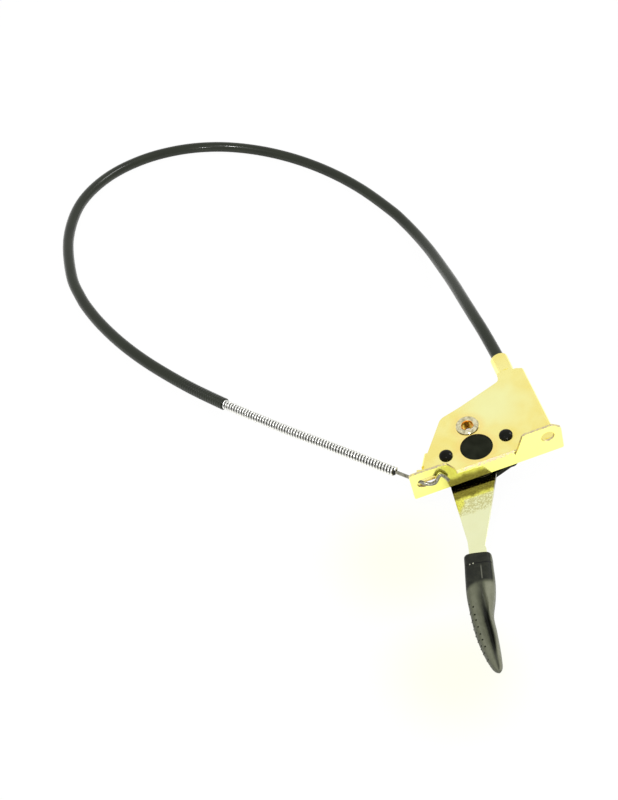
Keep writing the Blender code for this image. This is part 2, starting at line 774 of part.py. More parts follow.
def make_cable(frame, to_table):
    sheath_path = smooth_route(SHEATH_ROUTE, SHEATH_STEP)
    sheath = tube_data(
        sheath_path, SHEATH_RADIUS, SHEATH_BORE, SHEATH_BORE_DEPTH, SHEATH_BORE_DEPTH
    )
    stub_path = [(CLAMP_X, STUB_TO_Y, CLAMP_Z), (CLAMP_X, STUB_FROM_Y, CLAMP_Z)]
    stub = tube_data(stub_path, CONDUIT_RADIUS, CONDUIT_BORE, 0.0, STUB_BORE_DEPTH, 16)
    cut_axis = (sheath_path[-1] - sheath_path[-2]).normalized()
    inside = sheath_path[-1] - cut_axis * (SHEATH_BORE_DEPTH - 2 * GAP)
    straight_from = FREE_MOUTH - FREE_AXIS * FREE_STRAIGHT
    free_path = [inside] + smooth_route([*FREE_ROUTE, straight_from, FREE_MOUTH], FREE_STEP)
    free = tube_data(free_path, CONDUIT_RADIUS, CONDUIT_BORE, 0.0, FREE_BORE_DEPTH, 16)
    bends = [to_table @ Vector(p) for p in WIRE_BENDS]
    wire_path = [FREE_MOUTH - FREE_AXIS * WIRE_TAIL, FREE_MOUTH, FREE_MOUTH + FREE_AXIS * WIRE_REACH]
    wire = tube_data(wire_path + smooth_route(bends, WIRE_STEP), WIRE_RADIUS, sides=10)
    lever_wire_path = smooth_route(LEVER_WIRE_ROUTE, LEVER_WIRE_STEP)
    lever_wire = tube_data(lever_wire_path, WIRE_RADIUS, sides=10)
    return [
        (add_mesh("sheath", *sheath), "sheath_black"),
        (add_mesh("free_conduit", *free), "conduit_steel"),
        (add_mesh("wire_end", *wire), "wire_steel"),
        (add_mesh("clamp_conduit", *stub, frame), "conduit_steel"),
        (add_mesh("lever_wire", *lever_wire, frame), "wire_steel"),
    ]


def main():
    clear_scene()
    frame = bpy.data.objects.new("control_frame", None)
    bpy.context.collection.objects.link(frame)
    frame.location = Vector(CONTROL_ON_TABLE) * MM
    frame.rotation_euler = (0.0, -ROLL, 0.0)
    to_table = Matrix.Translation(CONTROL_ON_TABLE) @ Matrix.Rotation(-ROLL, 4, "Y")
    made = [
        (make_bracket(frame), "zinc_yellow"),
        (make_pivot_housing(frame), "black_moulding"),
        (make_lower_cover(frame), "black_moulding"),
        (make_pin("left_pin", -PIN_X, frame), "black_pin"),
        (make_pin("right_pin", PIN_X, frame), "black_pin"),
        (make_hollow_rivet(frame), "bright_rivet"),
        (make_wave_washer(frame), "spring_steel"),
        (make_flat_washer(frame), "spring_steel"),
        (make_lever(frame), "zinc_lever"),
        (make_grip(frame), "grip_black"),
    ]
    made += make_cable(frame, to_table)
    for obj, slot in made:
        obj.data.materials.append(bpy.data.materials.get(slot) or material(slot))


main()
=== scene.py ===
"""Looks of the throttle control and its cable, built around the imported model's frame."""

import json
import math

import bmesh
import bpy
from mathutils import Matrix, Vector

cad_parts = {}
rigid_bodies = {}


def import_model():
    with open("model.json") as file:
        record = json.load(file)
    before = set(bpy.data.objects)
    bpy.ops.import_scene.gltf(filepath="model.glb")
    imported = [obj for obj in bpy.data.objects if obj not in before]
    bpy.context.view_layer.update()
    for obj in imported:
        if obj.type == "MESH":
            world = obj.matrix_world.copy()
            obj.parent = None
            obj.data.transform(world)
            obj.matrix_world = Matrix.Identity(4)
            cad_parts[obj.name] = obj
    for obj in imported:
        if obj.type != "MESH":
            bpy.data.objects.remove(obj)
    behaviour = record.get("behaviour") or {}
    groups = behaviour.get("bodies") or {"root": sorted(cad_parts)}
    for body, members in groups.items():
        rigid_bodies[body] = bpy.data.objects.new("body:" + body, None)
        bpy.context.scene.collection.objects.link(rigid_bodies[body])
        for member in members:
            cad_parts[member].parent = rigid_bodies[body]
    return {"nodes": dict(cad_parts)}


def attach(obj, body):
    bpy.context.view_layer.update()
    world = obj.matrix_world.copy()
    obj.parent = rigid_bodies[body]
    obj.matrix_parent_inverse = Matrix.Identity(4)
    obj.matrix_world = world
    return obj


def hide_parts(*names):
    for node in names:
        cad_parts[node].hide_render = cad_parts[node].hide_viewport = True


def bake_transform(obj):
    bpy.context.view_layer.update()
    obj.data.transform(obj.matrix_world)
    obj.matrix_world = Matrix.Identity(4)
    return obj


MM = 0.001

# The control's own frame on the table, as in the CAD.
ROLL = math.radians(14.12)
CONTROL_ON_TABLE = (-1.8, 30.0, 25.5)
TO_TABLE = Matrix.Translation(CONTROL_ON_TABLE) @ Matrix.Rotation(-ROLL, 4, "Y")

# Camera of the photo.
IMAGE_WIDTH = 618
IMAGE_HEIGHT = 800
FOCAL_PIXELS = 1300.0
SENSOR_MM = 36.0
CLIP_START = 0.01
CLIP_END = 20.0
CAMERA_PLACE = (-177.3, -370.0, 486.0)
CAMERA_RIGHT = (0.97424, -0.22550, 0.0)
CAMERA_UP = (0.15935, 0.68846, 0.7066)
CAMERA_BACK = (-0.15955, -0.68932, 0.7076)

# How bright the surroundings are, and the dark strip low on the camera's side. Its top is the sine of
# the angle above the table, and its sides fade between two cosines of the angle from the camera.
WORLD_WHITE = 0.97
WORLD_DARK = 0.03
DARK_STRIP_TOP = 0.42
DARK_STRIP_FADES = 0.08
DARK_STRIP_SIDES = (0.6, 0.2)
# Area lights: name, place and size in metres, power in watts.
LIGHTS = [
    ("key", (-0.5, -0.3, 1.1), 0.10, 5.0),
    ("fill", (0.6, 0.4, 0.9), 0.3, 3.0),
    ("front", (-0.22, -0.96, 0.69), 0.06, 2.5),
]

# The table top, in metres: half its width, and the centre and reach of each faint warm pool of painted
# light from the flange.
TABLE_HALF = 3.0
PAINTED_TABLE_LIGHTS = [((-0.050, -0.010, 0.0), 0.050), ((-0.045, -0.075, 0.0), 0.045)]
PAINTED_LIGHT_CORE = 0.004
# How much of what the camera sees of the table is its own plain glow.
TABLE_GLOW = 0.97

# Places shared with the CAD, in millimetres of the control's frame.
PIVOT_Y = -0.8
HUB_RADIUS = 7.7
RIVET_Y = 13.5
RIVET_BARREL = 3.0
FLANGE_FRONT = -11.72
FLANGE_BACK = -10.22
PLATE_LOW = -1.45
BEND_WORN_FROM = -10.35
FLAT_FROM_X = -23.4
FLAT_TO_X = 25.5

# What marks an edge of the sheet: the parts of a face's normal, and where the bend begins and ends.
BEND_HEIGHTS = (-1.3, -0.9)
BEND_LEANS = 0.12
SHEARED_BELOW = 0.25
PLATE_EDGE_BELOW = 0.93
# Where the plate is pale, and over which y the lever's painted flange reflection and painted shade set
# in.
PALE_CENTRE = (16.0, 22.0, 0)
FLANGE_REFLECTION_BEGINS = (-27.5, -25.0)
PAINTED_SHADE_BEGINS = (-17.4, -15.2)

# Cable sizes in millimetres, its routes in metres on the table.
SHEATH_RADIUS = 3.2
CONDUIT_RADIUS = 2.55
CONDUIT_BORE = 1.2
WIRE_RADIUS = 0.875
SHEATH_STEP = 0.004
SHEATH_ROUTE = [
    (0.02775, 0.0736, 0.0281),
    (0.02775, 0.0840, 0.0281),
    (0.0271, 0.1057, 0.0273),
    (0.0267, 0.1211, 0.0256),
    (0.0269, 0.1386, 0.0224),
    (0.0277, 0.1582, 0.0178),
    (0.0281, 0.1791, 0.0126),
    (0.0278, 0.1999, 0.0081),
    (0.0260, 0.2188, 0.0049),
    (0.0226, 0.2353, 0.0035),
    (0.0177, 0.2496, 0.0034),
    (0.0050, 0.2760, 0.0034),
    (-0.0111, 0.2992, 0.0034),
    (-0.0302, 0.3183, 0.0034),
    (-0.0516, 0.3325, 0.0034),
    (-0.0746, 0.3411, 0.0034),
    (-0.0992, 0.3429, 0.0034),
    (-0.1247, 0.3370, 0.0034),
    (-0.1486, 0.3225, 0.0034),
    (-0.1674, 0.2989, 0.0034),
    (-0.1779, 0.2665, 0.0034),
    (-0.1798, 0.2309, 0.0034),
    (-0.1764, 0.2092, 0.0034),
    (-0.1724, 0.1958, 0.0034),
    (-0.1678, 0.1841, 0.0034),
    (-0.1617, 0.1714, 0.0034),
    (-0.1550, 0.1596, 0.0034),
    (-0.1472, 0.1478, 0.0034),
    (-0.1389, 0.1368, 0.0034),
    (-0.1312, 0.1269, 0.0038),
    (-0.1252, 0.1193, 0.0045),
    (-0.1196, 0.1125, 0.0053),
    (-0.1126, 0.1040, 0.0065),
]
FREE_ROUTE = [
    (-0.1126, 0.1040, 0.0065),
    (-0.1054, 0.0959, 0.0077),
    (-0.0975, 0.0871, 0.0090),
    (-0.0895, 0.0785, 0.0102),
    (-0.0818, 0.0702, 0.0115),
    (-0.0733, 0.0615, 0.0130),
]
FREE_AXIS = Vector((0.6935, -0.7144, 0.0930)).normalized()
FREE_MOUTH = Vector((-0.04203, 0.02921, 0.01743))
FREE_STRAIGHT = 0.032
FREE_INSIDE = 0.0074
FREE_STEP = 0.004
WIRE_TAIL = 0.030
WIRE_REACH = 0.0161
WIRE_STEP = 0.0004
# Distances from the sheath's cut within which its ribs are full, and beyond which they are gone.
RIBS_FULL = 0.006
RIBS_GONE = 0.05

# The bent wires, in millimetres of the control's frame.
WIRE_BENDS = [
    (-28.3, -13.2, 0.5),
    (-26.8, -13.5, 0.0),
    (-25.0, -13.5, 0.0),
    (-23.6, -13.4, 1.7),
    (-22.5, -13.3, 3.5),
    (-21.2, -13.3, 3.8),
    (-19.8, -13.3, 1.9),
    (-18.5, -13.4, -1.5),
]
LEVER_WIRE_ROUTE = [
    (29.3, 42.0, -4.65),
    (29.3, 36.0, -4.7),
    (29.3, 29.0, -5.2),
    (29.25, 18.0, -7.6),
    (29.2, 7.0, -10.0),
    (29.15, 1.2, -10.75),
    (29.1, -1.9, -10.95),
    (29.1, -3.1, -11.9),
    (29.1, -3.1, -14.4),
    (29.1, -2.2, -15.4),
    (29.1, 1.6, -15.5),
]
LEVER_WIRE_STEP = 0.5
CURVE_RESOLUTION = 6

# The winding of the bare conduit: its pitch and the radius of its wire in millimetres, and its mesh.
COIL_PITCH = 1.61
COIL_WIRE = 0.62
COIL_SEGMENTS = 22
COIL_SIDES = 8
# The dark tube inside the winding, painted shade in and between its turns: its radius and its mesh.
SHADE_TUBE_RADIUS = 1.75
SHADE_TUBE_SIDES = 20
# The winding's painted shade: 0 bright, 1 dark. Crests are bright, the gaps get painted shade, and a
# painted dark reflection runs as a row low along the front. The row lies where the outward direction's
# height is between low and top.
CREST_ENDS = 0.9
CREST_FADES = 0.7
GAP_TONE = 0.4
ROW_TOP = 0.66
ROW_TOP_FADES = 0.12
ROW_LOW = 0.1
ROW_LOW_FADES = 0.15
ROW_SIDE_FADES = 0.2
ROW_ON_CREST = 0.35

# Grip: the centre's x and y, half width, half height and squareness of each cross-section.
GRIP_Z = -13.0
GRIP_SECTIONS = [
    (-18.40, -53.0, 5.7, 4.0, 3.6),
    (-18.60, -53.8, 6.4, 4.7, 4.2),
    (-19.60, -57.8, 6.5, 4.8, 4.2),
    (-21.80, -66.5, 6.7, 4.9, 3.8),
    (-24.10, -74.5, 6.4, 5.2, 3.0),
    (-26.70, -84.0, 5.1, 5.6, 2.6),
    (-27.80, -93.0, 4.8, 5.9, 2.4),
    (-28.40, -101.5, 4.0, 5.7, 2.3),
    (-28.60, -107.5, 3.0, 4.9, 2.2),
    (-28.60, -110.8, 2.1, 3.6, 2.0),
    (-28.60, -112.4, 0.8, 1.6, 2.0),
]
GRIP_SIDES = 96
GRIP_STEP = 1.0
# The thumb scoop in the grip's upper face: its outline is in shares of the half width.
SCOOP_FROM_Y = -68.5
SCOOP_GROWS = 13.0
SCOOP_TIP_Y = -111.5
SCOOP_FADES = 16.0
SCOOP_DEPTH = 4.0
SCOOP_LEFT = (0.0, -0.85)
SCOOP_RIGHT = (0.12, 0.76)
SCOOP_DEEPEST = 0.78
# The grip's painted light and shade: 0 dark, 1 light. The painted shadow in the scoop's valley runs
# through (y, share of the width).
VALLEY_LINE = [(-111.0, 0.25), (-97.0, 0.47), (-86.0, 0.42), (-75.0, 0.12), (-67.0, 0.05)]
SCOOP_EDGE_Y = -67.2
SCOOP_EDGE_SLANT = 3.5
SCOOP_EDGE_FADES = 2.5
SOCKET_TONE = 0.2
SOCKET_RIM_TONE = 0.5
SOCKET_RIM_FROM = 0.86
SOCKET_RIM_WIDTH = 0.1
VALLEY_TONE = 0.28
DEEP_FROM_Y = -77.0
DEEP_GROWS = 9.0
DEEP_TIP_Y = -109.0
DEEP_FADES = 12.0
SHOULDER_TONE = 0.53
SHOULDER_RISES = 0.5
RIM_TONE = 0.62
RIM_RISES = 0.42
SIDE_TONE = 0.42
SIDE_FROM = -0.55
SIDE_FADES = 0.35
# The screen colour, 0 to 255, at each lightness.
GRIP_TONES = [(0.0, (8, 8, 4)), (0.2, (26, 28, 22)), (0.5, (84, 86, 70)), (0.8, (136, 137, 118))]
# Dots: radius, how deep they sit, their pitch, and each row's angle round the grip, first and last y.
DOT_RADIUS = 0.45
DOT_SUNK = 0.18
DOT_PITCH = 3.4
DOT_ROWS = [(178, -82.5, -108.5), (150, -79.5, -107.0), (122, -81.2, -105.0)]
# Lines and specks painted on the upper face. A width is where a line is gone, and where it is full.
MARKS_FROM_Z = GRIP_Z + 2.5
PARTING_WIDTH = (0.4, 0.15)
PARTING_Y = -58.9
PARTING_SLOPE = 0.2
PARTING_MIDDLE_X = -19.9
SEAM_WIDTH = (0.35, 0.1)
SEAM_FROM = (-18.9, -60.2)
SEAM_TO = (-20.6, -67.4)
SPECKS = [(-23.6, -58.3), (-22.0, -58.4)]
SPECK_Z = GRIP_Z + 4.8
SPECK_RADII = (0.15, 0.5)

# The material of each node that is shown as the CAD has it.
PAINTED = {
    "bracket": "zinc",
    "pivot_housing": "moulding",
    "lower_cover": "moulding",
    "left_pin": "pin",
    "right_pin": "pin",
    "hollow_rivet": "rivet",
    "wave_washer": "washer",
    "flat_washer": "washer",
    "lever": "lever",
    "clamp_conduit": "conduit",
}
# How wide a node's sharp edges are rounded, in millimetres, and from which angle.
SOFT_EDGES = {"bracket": 0.28, "lever": 0.2, "pivot_housing": 0.3, "lower_cover": 0.3}
SOFT_SEGMENTS = 2
SOFT_FROM_ANGLE = math.radians(35)


class Nodes:
    """Short calls for building the nodes of one material or world."""

    # Places of the colour sockets among those of the mix node.
    MIX_FIRST = 6
    MIX_SECOND = 7
    MIX_RESULT = 2

    def __init__(self, owner):
        owner.use_nodes = True
        self.owner = owner
        self.tree = owner.node_tree
        self.shader = self.tree.nodes.get("Principled BSDF")

    def add(self, kind, **inputs):
        """A new node with its inputs linked or set."""
        node = self.tree.nodes.new(kind)
        for key, value in inputs.items():
            self.put(node, key, value)
        return node

    def put(self, node, key, value):
        """Links or sets an input. A key with underscores is an input's name with spaces."""
        socket = node.inputs[key if isinstance(key, int) else key.replace("_", " ")]
        if isinstance(value, bpy.types.NodeSocket):
            self.tree.links.new(value, socket)
        elif isinstance(value, (tuple, list)) and len(value) == 3 and socket.type == "RGBA":
            socket.default_value = (*value, 1.0)
        else:
            socket.default_value = value

    def set(self, **inputs):
        """Links or sets inputs of the material's shader."""
        for key, value in inputs.items():
            self.put(self.shader, key, value)

    def place(self):
        """Points of the piece in metres, where they are at rest, so its pattern moves with it."""
        return self.add("ShaderNodeTexCoord").outputs["Object"]

    def local(self):
        """Points in the control's own frame, in millimetres."""
        to_local = self.add("ShaderNodeMapping", Vector=self.place())
        to_local.vector_type = "TEXTURE"
        to_local.inputs["Location"].default_value = Vector(CONTROL_ON_TABLE) * MM
        to_local.inputs["Rotation"].default_value = (0.0, -ROLL, 0.0)
        to_local.inputs["Scale"].default_value = (MM, MM, MM)
        return to_local.outputs[0]

    def parts(self, vector):
        """The x, y and z of a vector."""
        return self.add("ShaderNodeSeparateXYZ", Vector=vector).outputs

    def attribute(self, name):
        """A number that the mesh holds for each of its points."""
        node = self.add("ShaderNodeAttribute")
        node.attribute_name = name
        return node.outputs["Fac"]

    def noise(self, vector, scale, detail=3.0, rough=0.6, distortion=0.0):
        """A cloudy pattern about 0.5. The scale is per unit of the vector."""
        node = self.add("ShaderNodeTexNoise", Vector=vector, Scale=scale, Detail=detail)
        self.put(node, "Roughness", rough)
        self.put(node, "Distortion", distortion)
        return node.outputs["Fac"]

    def ramp(self, value, *stops):
        """A colour ramp from (position, colour) stops; colours are linear triples or greys."""
        node = self.add("ShaderNodeValToRGB", Fac=value)
        elements = node.color_ramp.elements
        while len(elements) < len(stops):
            elements.new(0.5)
        for element, (position, colour) in zip(elements, stops):
            element.position = position
            grey = not isinstance(colour, (tuple, list))
            element.color = (colour, colour, colour, 1.0) if grey else (*colour, 1.0)
        return node.outputs["Color"]

    def mix(self, factor, first, second):
        """The first colour where the factor is 0, the second where it is 1."""
        node = self.add("ShaderNodeMix")
        node.data_type = "RGBA"
        self.put(node, 0, factor)
        self.put(node, self.MIX_FIRST, first)
        self.put(node, self.MIX_SECOND, second)
        return node.outputs[self.MIX_RESULT]

    def math(self, operation, first, second=0.0):
        node = self.add("ShaderNodeMath")
        node.operation = operation
        self.put(node, 0, first)
        self.put(node, 1, second)
        return node.outputs[0]

    def chain(self, operation, *values):
        """One operation on all the values in turn."""
        result = values[0]
        for value in values[1:]:
            result = self.math(operation, result, value)
        return result

    def times(self, *values):
        return self.chain("MULTIPLY", *values)

    def largest(self, *values):
        return self.chain("MAXIMUM", *values)

    def scaled(self, value, factor, offset):
        return self.math("ADD", self.times(value, factor), offset)

    def opposite(self, value):
        """1 where the value is 0, and 0 where it is 1."""
        return self.math("SUBTRACT", 1.0, value)

    def apart(self, first, second):
        """How far two numbers are apart."""
        return self.math("ABSOLUTE", self.math("SUBTRACT", first, second))

    def fade(self, value, start, end):
        """0 at start, 1 at end, smooth between."""
        node = self.add("ShaderNodeMapRange", Value=value, From_Min=start, From_Max=end)
        node.interpolation_type = "SMOOTHSTEP"
        return node.outputs[0]

    def vector_math(self, operation, vector, other):
        node = self.add("ShaderNodeVectorMath")
        node.operation = operation
        self.put(node, 0, vector)
        node.inputs[1].default_value = other
        return node.outputs["Value"]

    def near(self, vector, centre, inner, outer):
        """1 within inner of centre, falling to 0 at outer."""
        return self.fade(self.vector_math("DISTANCE", vector, centre), outer, inner)

    def rough(self, pattern, swing, least):
        """Makes the surface's roughness follow a pattern."""
        self.set(Roughness=self.scaled(pattern, swing, least))

    def bump(self, height, strength, distance):
        """Gives the surface a relief. The distance is its depth in metres."""
        node = self.add("ShaderNodeBump", Height=height, Strength=strength, Distance=distance)
        self.put(self.shader, "Normal", node.outputs["Normal"])


def linear(red, green, blue):
    """A screen colour of 0 to 255 as linear values."""
    def channel(value):
        value /= 255.0
        return value / 12.92 if value <= 0.04045 else ((value + 0.055) / 1.055) ** 2.4
    return (channel(red), channel(green), channel(blue))


def sheet_wear(made, local):
    """1 on the sheared edges of the sheet and, in patches, along the front bend."""
    normal = made.add("ShaderNodeNewGeometry").outputs["True Normal"]
    turn = made.add("ShaderNodeVectorRotate", Vector=normal)
    turn.rotation_type = "Y_AXIS"
    turn.inputs["Angle"].default_value = ROLL
    _, normal_y, normal_z = made.parts(turn.outputs[0])
    x, y, z = made.parts(local)
    on_flange = made.math("LESS_THAN", y, FLANGE_BACK + 0.02)
    leaning = made.math("GREATER_THAN", normal_z, BEND_LEANS)
    on_bend = made.times(made.fade(z, *BEND_HEIGHTS), leaning)
    sheared = made.math("LESS_THAN", made.math("ABSOLUTE", normal_y), SHEARED_BELOW)
    flange_edge = made.times(on_flange, sheared, made.opposite(on_bend))
    on_plate = made.times(made.math("GREATER_THAN", z, PLATE_LOW), made.opposite(on_flange))
    flat_part = made.times(
        made.math("GREATER_THAN", x, FLAT_FROM_X), made.math("LESS_THAN", x, FLAT_TO_X)
    )
    steep = made.math("LESS_THAN", normal_z, PLATE_EDGE_BELOW)
    plate_edge = made.times(on_plate, flat_part, steep)
    patches = made.ramp(
        made.noise(local, 0.8, detail=4.0, rough=0.65), (0.36, 0.0), (0.56, 1.0)
    )
    worn_bend = made.times(on_bend, made.math("LESS_THAN", y, BEND_WORN_FROM), patches)
    return made.largest(flange_edge, plate_edge, worn_bend)


def plate_colour(made, local, fine):
    """Cloudy yellow, pale on the plate's broad part and orange round the hub and the rivet."""
    clouds = made.ramp(
        made.noise(local, 0.09, rough=0.5, distortion=0.4), (0.36, 0.0), (0.64, 1.0)
    )
    colour = made.mix(clouds, linear(250, 240, 156), linear(248, 232, 136))
    pale = made.near(local, PALE_CENTRE, 4.0, 22.0)
    colour = made.mix(made.times(pale, 0.75), colour, linear(247, 248, 182))
    around_hub = made.near(local, (0, PIVOT_Y, 0), HUB_RADIUS + 0.5, HUB_RADIUS + 5.0)
    around_rivet = made.near(local, (0, RIVET_Y, 0), 6.0, 10.0)
    tint = made.times(made.largest(around_hub, around_rivet), fine, 0.75)
    return made.mix(tint, colour, linear(252, 216, 128))


def zinc_material():
    """Shiny yellow passivated zinc plate with cloudy tints, rolling marks, worn edges and a deeper
    yellow painted reflection on the flange.
    """
    made = Nodes(bpy.data.materials.new("zinc_yellow"))
    local = made.local()
    _, y, _ = made.parts(local)
    fine = made.noise(local, 1.6, detail=4.0)
    colour = plate_colour(made, local, fine)
    # The flange, the same sheet as the plate, is painted a deeper yellow: a painted reflection.
    on_flange = made.fade(y, FLANGE_BACK - 0.5, FLANGE_FRONT + 0.1)
    colour = made.mix(on_flange, colour, linear(255, 252, 142))
    wear = sheet_wear(made, local)
    worn = made.mix(made.noise(local, 1.9), linear(150, 134, 116), linear(222, 204, 178))
    colour = made.mix(made.times(wear, 0.9), colour, worn)
    stretched = made.add("ShaderNodeMapping", Vector=local, Scale=(0.5, 6.0, 6.0)).outputs[0]
    made.set(Base_Color=colour, Metallic=1.0)
    made.set(Roughness=made.math("ADD", made.scaled(fine, 0.10, 0.10), made.times(wear, 0.3)))
    made.bump(made.noise(stretched, 1.2, rough=0.5), 0.06, 0.00002)
    return made.owner


def lever_material():
    """Pale zinc, with a painted flange reflection and a mottled darker painted shade on the part under
    the plate.
    """
    made = Nodes(bpy.data.materials.new("zinc_lever"))
    local = made.local()
    _, y, _ = made.parts(local)
    clouds = made.noise(local, 0.12, rough=0.5, distortion=0.3)
    fine = made.noise(local, 2.0, detail=4.0)
    colour = made.mix(clouds, linear(240, 243, 200), linear(234, 236, 184))
    # Mottled darker yellow nearer the plate: a painted reflection of the flange's face.
    ragged = made.math("ADD", y, made.times(made.noise(local, 0.35), 4.0))
    speckle = made.ramp(made.noise(local, 1.3, rough=0.7), (0.42, 0.0), (0.55, 1.0))
    painted_flange_reflection = made.times(made.fade(ragged, *FLANGE_REFLECTION_BEGINS), speckle)
    colour = made.mix(made.times(painted_flange_reflection, 0.75), colour, linear(196, 190, 120))
    # Darker still under the plate: painted shadow and the painted dark reflection of the plate's
    # underside.
    painted_underside_shade = made.times(made.fade(ragged, *PAINTED_SHADE_BEGINS), made.ramp(fine, (0.3, 0.5), (0.6, 1.0)))
    colour = made.mix(painted_underside_shade, colour, linear(92, 82, 58))
    made.set(Base_Color=colour, Metallic=1.0)
    made.rough(fine, 0.10, 0.07)
    made.bump(fine, 0.05, 0.00003)
    return made.owner


def plastic_material(name, colour, least_rough, specular, texture=0.05, scale=3.0):
    """Black moulding: a faint mottle in its colour and gloss, and a fine moulded surface."""
    made = Nodes(bpy.data.materials.new(name))
    local = made.local()
    mottle = made.noise(local, scale, detail=4.0)
    broad = made.noise(local, 0.2, detail=2.0, rough=0.5)
    lighter = tuple(min(1.0, part * 1.5 + 0.002) for part in colour)
    made.set(Base_Color=made.mix(made.ramp(broad, (0.35, 0.0), (0.65, 1.0)), colour, lighter))
    made.set(Specular_IOR_Level=specular)
    made.rough(mottle, 0.12, least_rough)
    made.bump(mottle, texture, 0.00005)
    return made.owner


def sheath_material():
    """Black sheath. Near its cut end the turns of the conduit print through as faint ribs."""
    made = Nodes(bpy.data.materials.new("sheath_black"))
    place = made.place()
    mottle = made.noise(place, 900.0)
    broad = made.noise(place, 60.0, detail=2.0, rough=0.5)
    colour = made.mix(broad, linear(16, 20, 11), linear(32, 37, 23))
    along = made.vector_math("DOT_PRODUCT", place, FREE_AXIS)
    turns = made.math("SINE", made.times(along, 2 * math.pi / (COIL_PITCH * MM)))
    ribs = made.times(turns, made.near(place, SHEATH_ROUTE[-1], RIBS_FULL, RIBS_GONE))
    made.set(Base_Color=colour, Specular_IOR_Level=0.13)
    made.set(Coat_Weight=0.35, Coat_Roughness=0.12)
    made.rough(mottle, 0.12, 0.26)
    made.bump(made.math("ADD", made.times(mottle, 0.1), ribs), 0.6, 0.00025)
    return made.owner


def grip_marks(made, local, colour):
    """Draws the parting line, the seam and the bright specks on the grip's upper face."""
    x, y, z = made.parts(local)
    upper = made.math("GREATER_THAN", z, MARKS_FROM_Z)
    sideways = made.times(made.math("SUBTRACT", x, PARTING_MIDDLE_X), PARTING_SLOPE)
    from_parting = made.apart(made.math("ADD", y, sideways), PARTING_Y)
    parting = made.times(made.fade(from_parting, *PARTING_WIDTH), upper)
    colour = made.mix(parting, colour, linear(6, 6, 5))
    slope = (SEAM_TO[0] - SEAM_FROM[0]) / (SEAM_TO[1] - SEAM_FROM[1])
    seam_x = made.scaled(y, slope, SEAM_FROM[0] - SEAM_FROM[1] * slope)
    begins = made.fade(y, SEAM_FROM[1] + 0.3, SEAM_FROM[1] - 1.5)
    ends = made.fade(y, SEAM_TO[1] - 0.6, SEAM_TO[1])
    seam = made.times(made.fade(made.apart(x, seam_x), *SEAM_WIDTH), upper, begins, ends, 0.55)
    colour = made.mix(seam, colour, linear(116, 116, 104))
    for speck_x, speck_y in SPECKS:
        speck = made.near(local, (speck_x, speck_y, SPECK_Z), *SPECK_RADII)
        colour = made.mix(made.times(speck, 0.8), colour, linear(170, 170, 150))
    return colour


def grip_material():
    """Dark grey moulding with painted light and shade on its shape, a parting line, a seam and two
    bright specks.
    """
    made = Nodes(bpy.data.materials.new("grip_black"))
    local = made.local()
    mottle = made.noise(local, 2.5, detail=4.0)
    uneven = made.times(made.math("SUBTRACT", made.noise(local, 0.3), 0.5), 0.16)
    # Painted light and shade held by the mesh, made uneven at random.
    painted_grip_shading = made.math("ADD", made.attribute("painted_grip_shading"), uneven)
    colour = made.ramp(painted_grip_shading, *[(lightness, linear(*screen)) for lightness, screen in GRIP_TONES])
    made.set(Base_Color=grip_marks(made, local, colour), Specular_IOR_Level=0.15)
    made.rough(mottle, 0.12, 0.42)
    made.bump(mottle, 0.08, 0.00005)
    return made.owner


def steel_material(name, bright, dark, least_rough=0.18, painted_coil_shades=False):
    """Bright steel with dull spots, with the painted shade and painted dark reflection that a winding
    carries.
    """
    made = Nodes(bpy.data.materials.new(name))
    local = made.local()
    spots = made.noise(local, 0.9, detail=4.0)
    fine = made.noise(local, 7.0)
    colour = made.mix(made.ramp(spots, (0.42, 0.0), (0.68, 1.0)), bright, dark)
    if painted_coil_shades:
        # Painted shade in the gaps and a painted dark reflection row, held by the winding's points.
        colour = made.mix(made.attribute("painted_coil_shade"), colour, linear(16, 16, 12))
    made.set(Base_Color=colour, Metallic=1.0)
    made.rough(fine, 0.18, least_rough)
    made.bump(fine, 0.05, 0.00002)
    return made.owner


def rivet_material():
    """Worn silver-olive on the rolled rim, yellow and orange plate down in the hole."""
    made = Nodes(bpy.data.materials.new("bright_rivet"))
    local = made.local()
    x, y, _ = made.parts(local)
    across = made.add("ShaderNodeCombineXYZ", X=x, Y=y).outputs[0]
    patch = made.noise(local, 0.45, distortion=0.6)
    worn = made.ramp(
        made.noise(local, 0.6, detail=2.0, rough=0.5),
        (0.4, linear(222, 216, 182)),
        (0.65, linear(170, 162, 126)),
    )
    inside = made.ramp(
        patch,
        (0.38, linear(255, 230, 96)),
        (0.55, linear(252, 180, 60)),
        (0.7, linear(220, 124, 44)),
    )
    hole = made.near(across, (0, RIVET_Y, 0), RIVET_BARREL - 0.1, RIVET_BARREL + 0.15)
    made.set(Base_Color=made.mix(hole, worn, inside), Metallic=0.9)
    made.rough(patch, 0.15, 0.12)
    made.bump(patch, 0.04, 0.00005)
    return made.owner


def power(value, exponent):
    """The power of a value's size, with the value's sign."""
    return math.copysign(abs(value) ** exponent, value)


def smooth_share(value):
    """0 up to 0, 1 from 1 on, smooth between."""
    value = min(1.0, max(0.0, value))
    return value * value * (3 - 2 * value)


def between(first, second, share):
    """The first value at share 0, the second at share 1."""
    return first + (second - first) * share


def link_object(name, data):
    """A new object in the scene."""
    obj = bpy.data.objects.new(name, data)
    bpy.context.collection.objects.link(obj)
    return obj


def shaped_object(name, mesh, shape, material, smooth=True):
    """A new object from an edited shape, which is freed."""
    for face in shape.faces:
        face.smooth = smooth
    shape.to_mesh(mesh)
    shape.free()
    mesh.materials.append(material)
    return link_object(name, mesh)


def add_mesh(name, points, faces, material, smooth=True):
    """A new object from points and faces, with its faces turned outwards."""
    mesh = bpy.data.meshes.new(name)
    mesh.from_pydata(points, [], faces)
    shape = bmesh.new()
    shape.from_mesh(mesh)
    bmesh.ops.recalc_face_normals(shape, faces=shape.faces)
    return shaped_object(name, mesh, shape, material, smooth)


